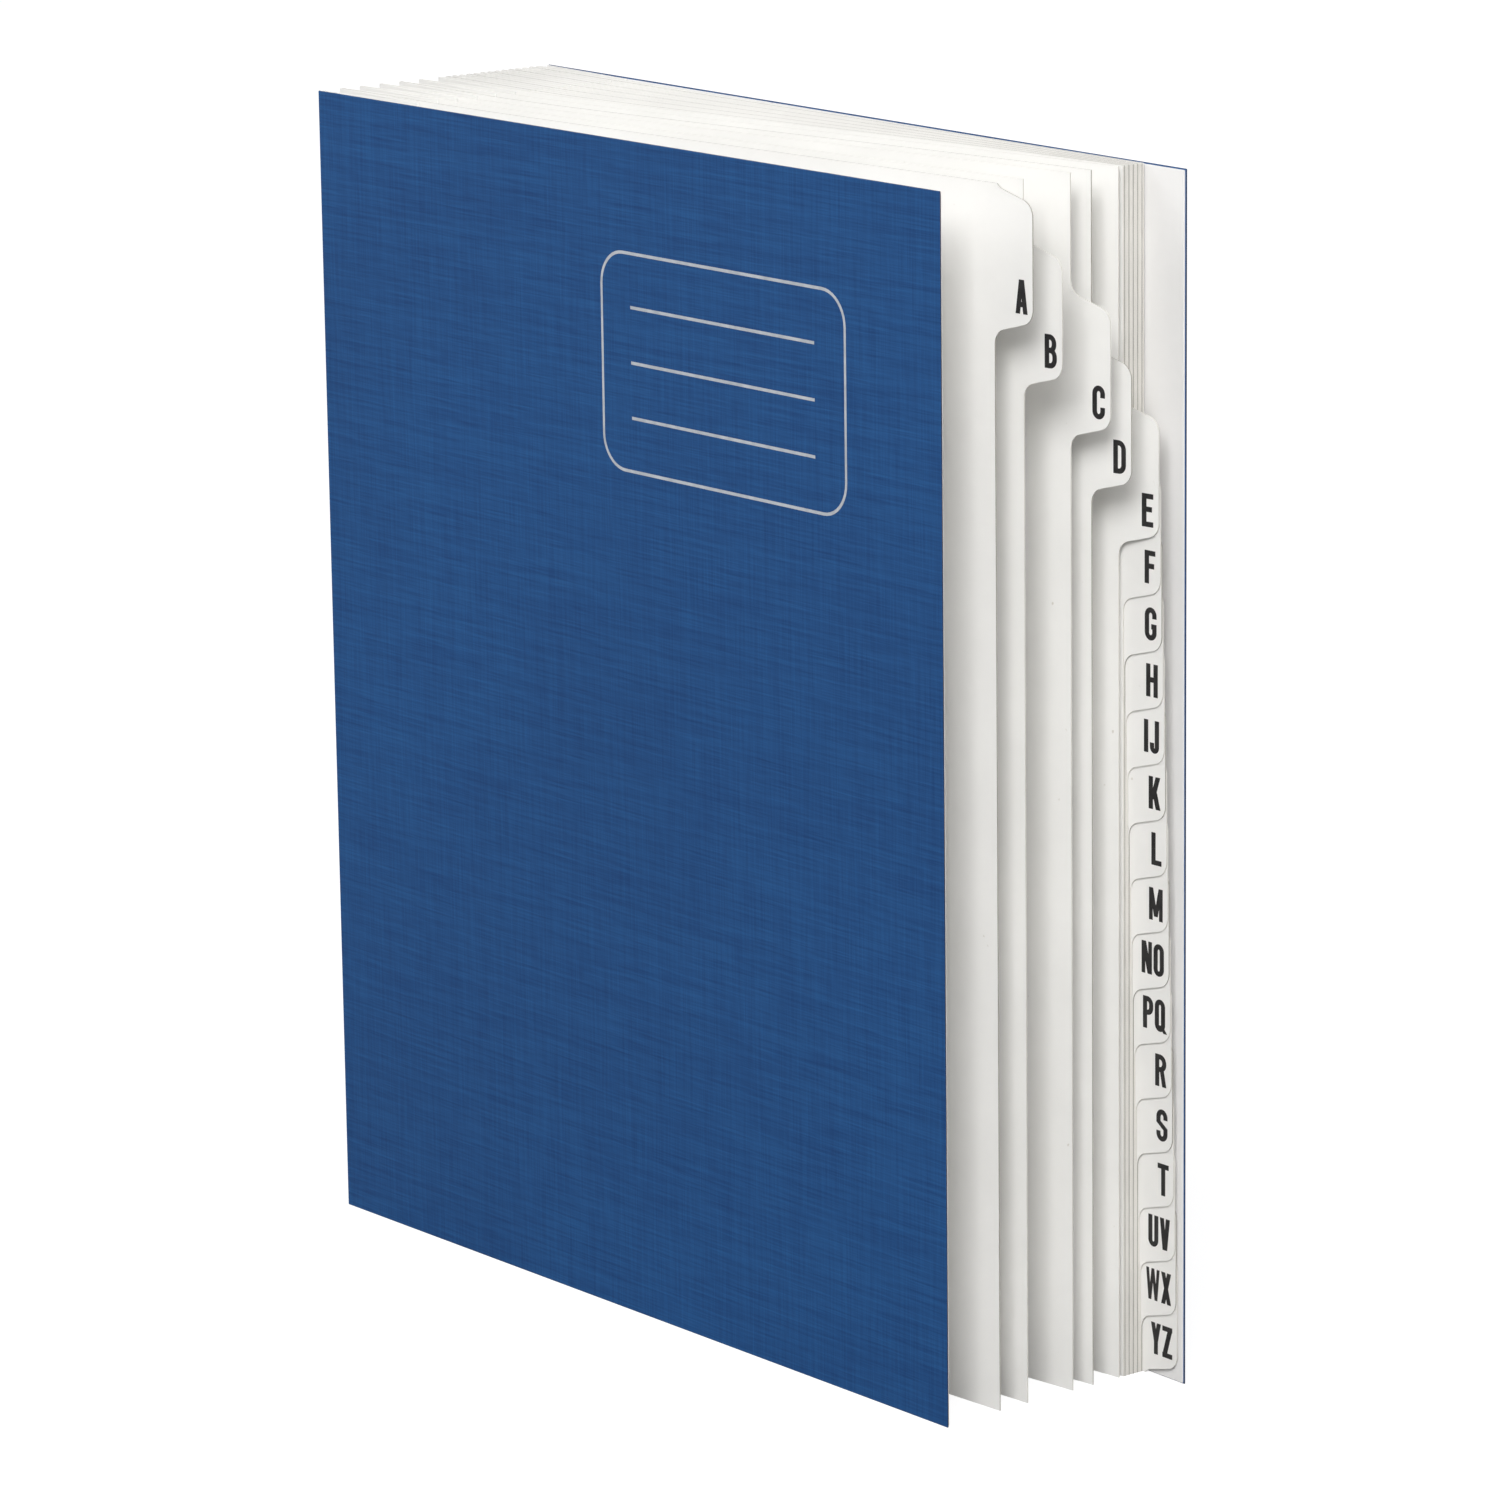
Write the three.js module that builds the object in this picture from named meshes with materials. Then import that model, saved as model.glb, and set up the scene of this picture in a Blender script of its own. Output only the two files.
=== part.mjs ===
// Alphabetical desk sorter: a tall book of twenty index leaves on a concertina spine,
// held between two thin boards and standing on its lower edges.
// Millimetres, +Z up. The front board faces -Y and the spine is on the -X side.
import * as THREE from "three";

// Driving dimensions of the book.
const FILE_HEIGHT = 304.8;
const LEAF_WIDTH = 249.5;
const SPINE_DEPTH = 75.5;
const FORE_DEPTH = 66;
const BOARD_THICKNESS = 0.8;
const LEAF_THICKNESS = 0.3;

// How far each board reaches past what it covers.
const FRONT_MARGIN = 1.5;
const BACK_MARGIN = 1.5;

// Index tabs, stepped down the fore edge, each with a straight outer edge between two
// rounded shoulders. The first and last shoulder run out in the leaf's own ends.
const TAB_REACH = 13;
const TAB_EDGE = 22;
const TAB_END_MARGIN = 18;
const SHOULDER_RADIUS = 4;
const SHOULDER_SLOPE = THREE.MathUtils.degToRad(15);
const ARC_STEPS = 5;

// Concertina spine.
const PLEAT_DEPTH = 39;
const PLEAT_STRIP = 0.25;
const PLEAT_CLEARANCE = 0.1;
const PLEAT_INNER_RADIUS = 0.1;
const END_PLEAT = 3.5;

// The first leaves stand loose and fanned, the rest lie packed against the back board.
const LOOSE_SHARE = 0.517;
const LOOSE_SPREAD = [0.3, 0.455, 0.71, 0.825, 0.975];
const LOOSE_SLOPE = 0.95;
const PACKED_SLOPE = 0.5;
const PACKED_AIR = 0.17;
const BACK_AIR = 0.6;

// Bend of a leaf in plan: straight in the spine, eased out, then nearly straight again.
const BEND_EASE = 45;
const BEND_RUN = 70;
const BEND_STEPS = 10;
const FOLD_STEPS = 6;

const LEAF_NAMES = [
  "a", "b", "c", "d", "e", "f", "g", "h", "ij", "k",
  "l", "m", "no", "pq", "r", "s", "t", "uv", "wx", "yz",
];

// Sizes that follow from the ones above.
const LEAF_COUNT = LEAF_NAMES.length;
const LOOSE_COUNT = LOOSE_SPREAD.length;
const LAST_LEAF = LEAF_COUNT - 1;
const FRONT_WIDTH = LEAF_WIDTH + FRONT_MARGIN;
const BACK_WIDTH = LEAF_WIDTH + TAB_REACH + BACK_MARGIN;
const TAB_PITCH = (FILE_HEIGHT - 2 * TAB_END_MARGIN) / LAST_LEAF;
const FOLD_INSIDE = LEAF_THICKNESS / 2 + PLEAT_CLEARANCE;
const FOLD_OUTSIDE = FOLD_INSIDE + PLEAT_STRIP;
const CREASE_OUTSIDE = PLEAT_INNER_RADIUS + PLEAT_STRIP;
const LEAF_START = FOLD_OUTSIDE;
const CREASE_CENTRE = PLEAT_DEPTH - CREASE_OUTSIDE;
const BEND_START = PLEAT_DEPTH + 1;

// Inner face of the back board, which leans in toward the fore edge.
const backFace = (u) => SPINE_DEPTH + ((FORE_DEPTH - SPINE_DEPTH) * u) / BACK_WIDTH;

// A place between the boards, from 0 at the front board's inner face to 1 at the back one's.
const shareToDepth = (u, share) => BOARD_THICKNESS + share * (backFace(u) - BOARD_THICKNESS);
const depthToShare = (u, depth) => (depth - BOARD_THICKNESS) / (backFace(u) - BOARD_THICKNESS);

// Share of each leaf at the spine, where the pleats set its place.
const lastShare = depthToShare(0, SPINE_DEPTH - END_PLEAT);
const looseStep = LOOSE_SHARE / (LOOSE_COUNT + 1);
const packedStep = (lastShare - LOOSE_SHARE) / (LAST_LEAF - LOOSE_COUNT);

function spineShareOf(index) {
  if (index < LOOSE_COUNT) {
    return looseStep * (index + 1);
  }
  return LOOSE_SHARE + packedStep * (index - LOOSE_COUNT);
}

// Share of each leaf at the fore edge: the packed leaves lie against the back board.
function foreShareOf(index) {
  const packed = Math.max(index, LOOSE_COUNT);
  const last = backFace(LEAF_WIDTH) - BACK_AIR - LEAF_THICKNESS / 2;
  const depth = last - (LAST_LEAF - packed) * (LEAF_THICKNESS + PACKED_AIR);
  const share = depthToShare(LEAF_WIDTH, depth);
  return index < LOOSE_COUNT ? share * LOOSE_SPREAD[index] : share;
}

// Depth of a leaf's middle in its straight part, inside the pleats.
const pleatDepthOf = (index, u) => shareToDepth(u, spineShareOf(index));

// Plan curve of a leaf as [u, depth] stations from its spine edge to its fore edge.
function leafStations(index) {
  const atSpine = spineShareOf(index);
  const atFore = foreShareOf(index);
  const ratio = index < LOOSE_COUNT ? LOOSE_SLOPE : PACKED_SLOPE;
  const slope = (ratio * (atFore - atSpine)) / (LEAF_WIDTH - BEND_START);
  const bend = new THREE.CubicBezierCurve(
    new THREE.Vector2(BEND_START, atSpine),
    new THREE.Vector2(BEND_START + BEND_EASE, atSpine),
    new THREE.Vector2(LEAF_WIDTH - BEND_RUN, atFore - slope * BEND_RUN),
    new THREE.Vector2(LEAF_WIDTH, atFore),
  );
  const stations = [[LEAF_START, pleatDepthOf(index, LEAF_START)]];
  for (const point of bend.getPoints(BEND_STEPS)) {
    stations.push([point.x, shareToDepth(point.x, point.y)]);
  }
  return stations;
}

// One shoulder as [reach, rise] points from the leaf's fore edge out to the tab's edge.
function shoulderPoints() {
  const turn = Math.PI / 2 - SHOULDER_SLOPE;
  const radius = Math.min(SHOULDER_RADIUS, (0.45 * TAB_REACH) / (1 - Math.cos(turn)));
  const arcReach = radius * (1 - Math.cos(turn));
  const arcRise = radius * Math.sin(turn);
  const rise = 2 * arcRise + (TAB_REACH - 2 * arcReach) * Math.tan(SHOULDER_SLOPE);
  const points = [];
  for (let k = 0; k <= ARC_STEPS; k += 1) {
    const angle = (turn * k) / ARC_STEPS;
    points.push([radius * (1 - Math.cos(angle)), radius * Math.sin(angle)]);
  }
  for (let k = ARC_STEPS; k >= 0; k -= 1) {
    const angle = (turn * k) / ARC_STEPS;
    points.push([
      TAB_REACH - radius * (1 - Math.cos(angle)),
      rise - radius * Math.sin(angle),
    ]);
  }
  return { points, rise };
}

// Fore edge of a leaf with its tab, as [u, z] points from the bottom edge to the top edge.
function foreEdge(tabMiddle) {
  const { points, rise } = shoulderPoints();
  const half = TAB_EDGE / 2 + rise;
  const whole = [[LEAF_WIDTH, Math.min(0, tabMiddle - half) - 1]];
  for (const [reach, up] of points) {
    whole.push([LEAF_WIDTH + reach, tabMiddle - half + up]);
  }
  for (const [reach, up] of points.slice().reverse()) {
    whole.push([LEAF_WIDTH + reach, tabMiddle + half - up]);
  }
  whole.push([LEAF_WIDTH, Math.max(FILE_HEIGHT, tabMiddle + half) + 1]);

  // Cut the line off where it leaves the sheet at the bottom and at the top.
  const edge = [];
  for (let k = 1; k < whole.length; k += 1) {
    const [u0, z0] = whole[k - 1];
    const [u1, z1] = whole[k];
    const crossing = (z) => [u0 + ((u1 - u0) * (z - z0)) / (z1 - z0), z];
    if (z0 < 0 && z1 >= 0) {
      edge.push(crossing(0));
    }
    if (z1 > 0 && z1 < FILE_HEIGHT) {
      edge.push([u1, z1]);
    }
    if (z0 <= FILE_HEIGHT && z1 > FILE_HEIGHT) {
      edge.push(crossing(FILE_HEIGHT));
    }
  }
  return edge;
}

// Closed solid from flat faces given as vertex lists and triples of indices.
function solid(name, vertices, triangles, color) {
  const geometry = new THREE.BufferGeometry();
  geometry.setAttribute("position", new THREE.Float32BufferAttribute(vertices.flat(), 3));
  geometry.setIndex(triangles.flat());
  geometry.computeVertexNormals();
  const material = new THREE.MeshStandardMaterial({ color, roughness: 0.8 });
  material.name = name;
  const mesh = new THREE.Mesh(geometry, material);
  mesh.name = name;
  return mesh;
}

// Walls between two copies of a loop; the first copy starts at 0, the second at count.
function wallTriangles(loop, count) {
  const walls = [];
  loop.forEach((a, k) => {
    const b = loop[(k + 1) % loop.length];
    walls.push([a, a + count, b + count], [a, b + count, b]);
  });
  return walls;
}

// One index leaf: a thin sheet with its tab, bent along its plan curve.
function makeLeaf(index) {
  const stations = leafStations(index);
  const flat = [];
  const lower = [];
  const upper = [];
  for (const [u] of stations.slice(0, -1)) {
    lower.push(flat.push([u, 0]) - 1);
    upper.push(flat.push([u, FILE_HEIGHT]) - 1);
  }
  const tabMiddle = FILE_HEIGHT - TAB_END_MARGIN - TAB_PITCH * index;
  const fore = foreEdge(tabMiddle).map((point) => flat.push(point) - 1);

  // Whole-height strips, then the last strip together with the tab.
  const faces = [];
  const last = lower.length - 1;
  for (let k = 0; k < last; k += 1) {
    faces.push([lower[k], lower[k + 1], upper[k + 1]], [lower[k], upper[k + 1], upper[k]]);
  }
  const end = [lower[last], ...fore, upper[last]];
  const outline = end.map((k) => new THREE.Vector2(flat[k][0], flat[k][1]));
  for (const [a, b, c] of THREE.ShapeUtils.triangulateShape(outline, [])) {
    faces.push([end[a], end[b], end[c]]);
  }

  // Depth at any distance from the spine; the tab carries on the line of the last strip.
  const depthAt = (u) => {
    let k = 1;
    while (k < stations.length - 1 && u > stations[k][0]) {
      k += 1;
    }
    const [u0, n0] = stations[k - 1];
    const [u1, n1] = stations[k];
    return n0 + ((n1 - n0) * (u - u0)) / (u1 - u0);
  };
  const vertices = [];
  for (const side of [-0.5, 0.5]) {
    for (const [u, z] of flat) {
      vertices.push([u, depthAt(u) + side * LEAF_THICKNESS, z]);
    }
  }
  const count = flat.length;
  const loop = [...lower, ...fore, ...upper.slice().reverse()];
  const triangles = [
    ...faces,
    ...faces.map(([a, b, c]) => [a + count, c + count, b + count]),
    ...wallTriangles(loop, count),
  ];
  return solid("divider_" + LEAF_NAMES[index], vertices, triangles, 0xf2f0ea);
}

// Points of a half-turn round [u, depth], from the low-depth side to the high-depth side.
// bulge is -1 where the turn points toward the spine and +1 where it points inward.
function halfTurn(u, depth, radius, bulge) {
  const points = [];
  for (let k = 0; k <= FOLD_STEPS; k += 1) {
    const angle = (Math.PI * k) / FOLD_STEPS;
    points.push([u + bulge * radius * Math.sin(angle), depth - radius * Math.cos(angle)]);
  }
  return points;
}

// The concertina: one folded strip that wraps the spine edge of every leaf in turn.
function makeGusset() {
  const spineSide = [[LEAF_START, BOARD_THICKNESS + PLEAT_CLEARANCE + PLEAT_STRIP]];
  const leafSide = [[LEAF_START, BOARD_THICKNESS + PLEAT_CLEARANCE]];
  for (let k = 0; k <= LEAF_COUNT; k += 1) {
    const before = k === 0 ? BOARD_THICKNESS : pleatDepthOf(k - 1, PLEAT_DEPTH);
    const after = k === LEAF_COUNT ? backFace(PLEAT_DEPTH) : pleatDepthOf(k, PLEAT_DEPTH);
    const middle = (before + after) / 2;
    spineSide.push(...halfTurn(CREASE_CENTRE, middle, PLEAT_INNER_RADIUS, 1));
    leafSide.push(...halfTurn(CREASE_CENTRE, middle, CREASE_OUTSIDE, 1));
    if (k < LEAF_COUNT) {
      const edge = pleatDepthOf(k, LEAF_START);
      spineSide.push(...halfTurn(LEAF_START, edge, FOLD_OUTSIDE, -1));
      leafSide.push(...halfTurn(LEAF_START, edge, FOLD_INSIDE, -1));
    }
  }
  const last = backFace(LEAF_START) - PLEAT_CLEARANCE;
  spineSide.push([LEAF_START, last - PLEAT_STRIP]);
  leafSide.push([LEAF_START, last]);

  // Anticlockwise loop seen from above, with quads across the strip as top and bottom.
  const half = spineSide.length;
  const flat = [...leafSide, ...spineSide];
  const caps = [];
  for (let k = 0; k < half - 1; k += 1) {
    caps.push([k, k + 1, half + k + 1], [k, half + k + 1, half + k]);
  }
  const count = flat.length;
  const vertices = [];
  for (const z of [FILE_HEIGHT, 0]) {
    for (const [u, depth] of flat) {
      vertices.push([u, depth, z]);
    }
  }
  const loop = [];
  for (let k = 0; k < half; k += 1) {
    loop.push(k);
  }
  for (let k = half - 1; k >= 0; k -= 1) {
    loop.push(half + k);
  }
  const triangles = [
    ...caps,
    ...caps.map(([a, b, c]) => [a + count, c + count, b + count]),
    ...wallTriangles(loop, count),
  ];
  return solid("spine_gusset", vertices, triangles, 0xe9e6df);
}

// A board as a flat plate between two points in plan, thickened to one side.
function makeBoard(name, start, end, thickness) {
  const along = new THREE.Vector2(end[0] - start[0], end[1] - start[1]).normalize();
  const out = [-along.y * thickness, along.x * thickness];
  const corners = [start, end, [end[0] + out[0], end[1] + out[1]], [start[0] + out[0], start[1] + out[1]]];
  const vertices = [];
  for (const z of [FILE_HEIGHT, 0]) {
    for (const [u, depth] of corners) {
      vertices.push([u, depth, z]);
    }
  }
  const caps = [[0, 1, 2], [0, 2, 3]];
  const triangles = [
    ...caps,
    ...caps.map(([a, b, c]) => [a + 4, c + 4, b + 4]),
    ...wallTriangles([0, 1, 2, 3], 4),
  ];
  return solid(name, vertices, triangles, 0x2f4f8f);
}

const group = new THREE.Group();
group.name = "desk_sorter";
group.add(makeBoard("front_cover", [0, 0], [FRONT_WIDTH, 0], BOARD_THICKNESS));
group.add(makeBoard("back_cover", [0, backFace(0)], [BACK_WIDTH, backFace(BACK_WIDTH)], BOARD_THICKNESS));
group.add(makeGusset());
for (let index = 0; index < LEAF_COUNT; index += 1) {
  group.add(makeLeaf(index));
}

// Stand the book on the origin.
const box = new THREE.Box3().setFromObject(group);
group.position.set(-(box.min.x + box.max.x) / 2, -(box.min.y + box.max.y) / 2, -box.min.z);
group.updateMatrixWorld(true);

export default group;
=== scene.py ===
"""Looks of the alphabetical desk sorter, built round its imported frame.

The sorter stands on its lower edges. X runs from the spine to the fore edge, Y from the
front cover to the back cover and Z up, in metres. Distances along the covers are called
u, counted from the spine, and distances through the block are called depth, counted
from the outer face of the front cover. Both are in millimetres.
"""
import math

import bmesh
import bpy
from mathutils import Matrix, Vector
from mathutils.geometry import delaunay_2d_cdt


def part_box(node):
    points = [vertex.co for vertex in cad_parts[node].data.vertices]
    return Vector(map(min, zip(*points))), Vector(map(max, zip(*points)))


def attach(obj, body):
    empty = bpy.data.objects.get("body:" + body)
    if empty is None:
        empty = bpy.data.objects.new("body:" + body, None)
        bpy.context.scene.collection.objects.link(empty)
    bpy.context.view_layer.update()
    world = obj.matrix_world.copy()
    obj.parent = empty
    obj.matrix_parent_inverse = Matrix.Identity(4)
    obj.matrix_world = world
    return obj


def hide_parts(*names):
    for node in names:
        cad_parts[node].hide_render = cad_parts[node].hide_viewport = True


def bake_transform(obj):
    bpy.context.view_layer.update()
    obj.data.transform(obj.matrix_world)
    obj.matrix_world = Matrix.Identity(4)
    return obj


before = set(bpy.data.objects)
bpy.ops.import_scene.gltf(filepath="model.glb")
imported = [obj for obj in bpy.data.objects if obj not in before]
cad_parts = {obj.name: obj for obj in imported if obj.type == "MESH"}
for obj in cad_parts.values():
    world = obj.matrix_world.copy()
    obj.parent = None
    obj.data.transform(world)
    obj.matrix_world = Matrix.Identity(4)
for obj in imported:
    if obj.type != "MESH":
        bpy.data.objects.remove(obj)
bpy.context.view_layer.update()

MM = 0.001
LEAF_NAMES = ["a", "b", "c", "d", "e", "f", "g", "h", "ij", "k",
              "l", "m", "no", "pq", "r", "s", "t", "uv", "wx", "yz"]
LEAF_COUNT = len(LEAF_NAMES)
LAST_LEAF = LEAF_COUNT - 1

# Sizes of the solids, repeated from the part's source, in millimetres.
FILE_HEIGHT = 304.8
LEAF_WIDTH = 249.5
SPINE_DEPTH = 75.5
FORE_DEPTH = 66
BOARD_THICKNESS = 0.8
LEAF_THICKNESS = 0.3
FRONT_WIDTH = 251
BACK_WIDTH = 264
TAB_REACH = 13
TAB_EDGE = 22
TAB_END_MARGIN = 18
SHOULDER_RADIUS = 4
SHOULDER_SLOPE = math.radians(15)
PLEAT_DEPTH = 39
PLEAT_STRIP = 0.25
PLEAT_CLEARANCE = 0.1
PLEAT_INNER_RADIUS = 0.1
PLEAT_TO_BEND = 1
END_PLEAT = 3.5
PACKED_AIR = 0.17
BACK_AIR = 0.6
BEND_EASE = 45
BEND_RUN = 70

# Places of the loose front leaves: their share of the block at the spine, how far each of
# them is fanned at the fore edge, and how steeply the leaves arrive there.
LOOSE_SHARE = 0.517
LOOSE_SPREAD = [0.3, 0.455, 0.71, 0.825, 0.975]
LOOSE_SLOPE = 0.95
PACKED_SLOPE = 0.5
LOOSE_COUNT = len(LOOSE_SPREAD)

TAB_PITCH = (FILE_HEIGHT - 2 * TAB_END_MARGIN) / LAST_LEAF
FOLD_INSIDE = LEAF_THICKNESS / 2 + PLEAT_CLEARANCE
FOLD_OUTSIDE = FOLD_INSIDE + PLEAT_STRIP
CREASE_OUTSIDE = PLEAT_INNER_RADIUS + PLEAT_STRIP
LEAF_START = FOLD_OUTSIDE
BEND_START = PLEAT_DEPTH + PLEAT_TO_BEND

# The plan's zero point in the frame: the spine edge of the front cover's outer face.
FRONT_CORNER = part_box("front_cover")[0]
ORIGIN = Vector((FRONT_CORNER[0], FRONT_CORNER[1], 0))


def place(u, depth, z):
    """A point of the frame, in metres, from millimetres along, through and up."""
    return ORIGIN + Vector((u, depth, z)) * MM


# Material helpers

# A Mix node's sockets share their names, so its colour sockets are taken by number.
MIX_COLOR_A = 6
MIX_COLOR_B = 7
MIX_COLOR_OUT = 2


def new_material(name):
    """A new material, its node tree and its shader."""
    material = bpy.data.materials.new(name)
    material.use_nodes = True
    tree = material.node_tree
    return material, tree, tree.nodes["Principled BSDF"]


def node(tree, kind, **values):
    made = tree.nodes.new(kind)
    for key, value in values.items():
        setattr(made, key, value)
    return made


def feed(tree, socket, value):
    """Links another node's output to an input, or sets the input to a plain value."""
    if isinstance(value, bpy.types.NodeSocket):
        tree.links.new(value, socket)
    else:
        socket.default_value = value


def noise(tree, scale, detail=3.0, rough=0.5, stretch=(1, 1, 1)):
    """Noise in the object's own space, so it doesn't slide when a piece moves."""
    coords = node(tree, "ShaderNodeTexCoord")
    mapping = node(tree, "ShaderNodeMapping")
    texture = node(tree, "ShaderNodeTexNoise")
    feed(tree, mapping.inputs["Scale"], stretch)
    feed(tree, mapping.inputs["Vector"], coords.outputs["Object"])
    feed(tree, texture.inputs["Scale"], scale)
    feed(tree, texture.inputs["Detail"], detail)
    feed(tree, texture.inputs["Roughness"], rough)
    feed(tree, texture.inputs["Vector"], mapping.outputs["Vector"])
    return texture.outputs["Fac"]


def ramp(tree, value, low_color, high_color, low, high):
    """A colour between two others as a value goes from low to high."""
    made = node(tree, "ShaderNodeValToRGB")
    first, last = made.color_ramp.elements
    first.position = low
    last.position = high
    first.color = (*low_color, 1)
    last.color = (*high_color, 1)
    feed(tree, made.inputs["Fac"], value)
    return made.outputs["Color"]


def calculate(tree, operation, *values):
    made = node(tree, "ShaderNodeMath", operation=operation)
    for k, value in enumerate(values):
        feed(tree, made.inputs[k], value)
    return made.outputs[0]


def multiply_colors(tree, color, other):
    mix = node(tree, "ShaderNodeMix", data_type="RGBA", blend_type="MULTIPLY")
    feed(tree, mix.inputs["Factor"], 1.0)
    feed(tree, mix.inputs[MIX_COLOR_A], color)
    feed(tree, mix.inputs[MIX_COLOR_B], other)
    return mix.outputs[MIX_COLOR_OUT]


def emboss(tree, shader, height, strength, distance):
    """Raises the surface where height is high, by up to a distance in metres."""
    bump = node(tree, "ShaderNodeBump")
    feed(tree, bump.inputs["Strength"], strength)
    feed(tree, bump.inputs["Distance"], distance)
    feed(tree, bump.inputs["Height"], height)
    feed(tree, shader.inputs["Normal"], bump.outputs["Normal"])


def srgb(r, g, b):
    """A linear colour from 8-bit values as a screen shows them."""
    return tuple(((c / 255 + 0.055) / 1.055) ** 2.4 if c > 10 else c / 255 / 12.92
                 for c in (r, g, b))


# Materials

PAPER_SPECULAR = 0.25
WHITE = (1, 1, 1)

# Threads of the linen: how finely each kind repeats along X, Y and Z, and how much it shows.
# The weft lies level and the warp stands upright.
WEFT_GRAIN = (36, 36, 1600)
FINE_WEFT_GRAIN = (110, 110, 3300)
WARP_GRAIN = (2400, 2400, 60)
WEFT_WEIGHT = 0.38
FINE_WEFT_WEIGHT = 0.3
WARP_WEIGHT = 0.32
LINEN_DARK = srgb(16, 60, 112)
LINEN_LIGHT = srgb(33, 86, 141)
LINEN_SHADE = srgb(242, 242, 244)
LINEN_ROUGHNESS = 0.5
LINEN_RELIEF = 0.00008


def linen_material():
    """Blue cover paper embossed like linen: long raised threads, finer ones crossing them."""
    material, tree, shader = new_material("linen_blue")
    feed(tree, shader.inputs["Roughness"], LINEN_ROUGHNESS)
    feed(tree, shader.inputs["Specular IOR Level"], PAPER_SPECULAR)
    weft, fine_weft, warp = (noise(tree, scale=1.0, detail=1.0, stretch=grain)
                             for grain in (WEFT_GRAIN, FINE_WEFT_GRAIN, WARP_GRAIN))
    threads = calculate(tree, "MULTIPLY", weft, WEFT_WEIGHT)
    threads = calculate(tree, "MULTIPLY_ADD", fine_weft, FINE_WEFT_WEIGHT, threads)
    threads = calculate(tree, "MULTIPLY_ADD", warp, WARP_WEIGHT, threads)
    tint = ramp(tree, threads, LINEN_DARK, LINEN_LIGHT, low=0.32, high=0.68)
    cloud = noise(tree, scale=9.0)
    shade = ramp(tree, cloud, LINEN_SHADE, WHITE, low=0.3, high=0.7)
    feed(tree, shader.inputs["Base Color"], multiply_colors(tree, tint, shade))
    emboss(tree, shader, threads, strength=0.3, distance=LINEN_RELIEF)
    return material


PAPER_RELIEF = 0.00003
FLECK_COLOR = (0.8, 0.78, 0.74)
FIBRE_STRETCH = (1, 1, 0.35)


def paper_material(name, dark, light, grain=900.0, roughness=0.72):
    """Uncoated card: soft mottling, fibre grain, a rare darker fleck and very little gloss."""
    material, tree, shader = new_material(name)
    feed(tree, shader.inputs["Roughness"], roughness)
    feed(tree, shader.inputs["Specular IOR Level"], PAPER_SPECULAR)
    cloud = noise(tree, scale=22.0, detail=5.0, rough=0.6)
    tint = ramp(tree, cloud, dark, light, low=0.35, high=0.68)
    fleck = noise(tree, scale=420.0, detail=1.0)
    spot = ramp(tree, fleck, WHITE, FLECK_COLOR, low=0.8, high=0.85)
    feed(tree, shader.inputs["Base Color"], multiply_colors(tree, tint, spot))
    fibre = noise(tree, grain, detail=4.0, rough=0.6, stretch=FIBRE_STRETCH)
    emboss(tree, shader, fibre, strength=0.25, distance=PAPER_RELIEF)
    return material


def ink_material(name, dark, light, roughness, metallic=0.0):
    """A thin even layer with a slight mottle."""
    material, tree, shader = new_material(name)
    feed(tree, shader.inputs["Roughness"], roughness)
    feed(tree, shader.inputs["Metallic"], metallic)
    cloud = noise(tree, scale=400.0)
    tint = ramp(tree, cloud, dark, light, low=0.3, high=0.7)
    feed(tree, shader.inputs["Base Color"], tint)
    return material


CUT_GRAIN = 2200.0
CUT_ROUGHNESS = 0.85

LINEN = linen_material()
LINER = paper_material("liner_paper", srgb(240, 239, 238), srgb(246, 245, 244))
CARD = paper_material("index_card", srgb(243, 242, 239), srgb(249, 248, 245))
# The cards' cut edges are greyer than their faces. This is partly the card's own darker core and
# partly painted shade that draws a thin line round each tab.
CARD_EDGE = paper_material("card_cut_edge", srgb(214, 211, 204), srgb(228, 225, 218),
                           CUT_GRAIN, CUT_ROUGHNESS)
# Every third leaf's cut edges are darker still. This is painted shade, standing in for the shadow
# lines between the packed tabs.
PAINTED_SHADE_CARD_EDGE = paper_material("card_cut_edge_painted_shade", srgb(158, 154, 146), srgb(180, 176, 168),
                                CUT_GRAIN, CUT_ROUGHNESS)
# The covers' cut edges are a near-black navy, much darker than the linen.
COVER_EDGE = ink_material("cover_cut_edge", srgb(16, 26, 44), srgb(30, 42, 66),
                          roughness=0.7)
PLEAT = paper_material("pleat_paper", srgb(236, 235, 232), srgb(245, 244, 241), grain=700.0)
INK = ink_material("index_ink", srgb(20, 19, 20), srgb(36, 34, 35), roughness=0.45)
SILVER = ink_material("silver_print", srgb(176, 181, 188), srgb(196, 200, 206),
                      roughness=0.5, metallic=0.2)


# Mesh helpers

SMOOTH_ANGLE = 35
PLEAT_SMOOTH_ANGLE = 50
BEVEL_ANGLE = 40
BEVEL_SEGMENTS = 2


def mesh_from(name, vertices, faces, material, smooth_angle=SMOOTH_ANGLE):
    mesh = bpy.data.meshes.new(name)
    mesh.from_pydata([tuple(v) for v in vertices], [], faces)
    mesh.validate()
    mesh.update()
    piece = bpy.data.objects.new(name, mesh)
    bpy.context.scene.collection.objects.link(piece)
    mesh.materials.append(material)
    for polygon in mesh.polygons:
        polygon.use_smooth = True
    mesh.set_sharp_from_angle(angle=math.radians(smooth_angle))
    return piece


def paint_last_faces(piece, count, material):
    """Gives the last faces of a mesh, its cut edges, a material of their own."""
    piece.data.materials.append(material)
    for polygon in piece.data.polygons[-count:]:
        polygon.material_index = 1


def fix_normals(piece):
    work = bmesh.new()
    work.from_mesh(piece.data)
    bmesh.ops.recalc_face_normals(work, faces=work.faces)
    work.to_mesh(piece.data)
    work.free()


def bevel(piece, width):
    modifier = piece.modifiers.new("edge", "BEVEL")
    modifier.width = width * MM
    modifier.segments = BEVEL_SEGMENTS
    modifier.limit_method = "ANGLE"
    modifier.angle_limit = math.radians(BEVEL_ANGLE)


# Plan of the block: where each leaf runs between the two covers

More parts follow.
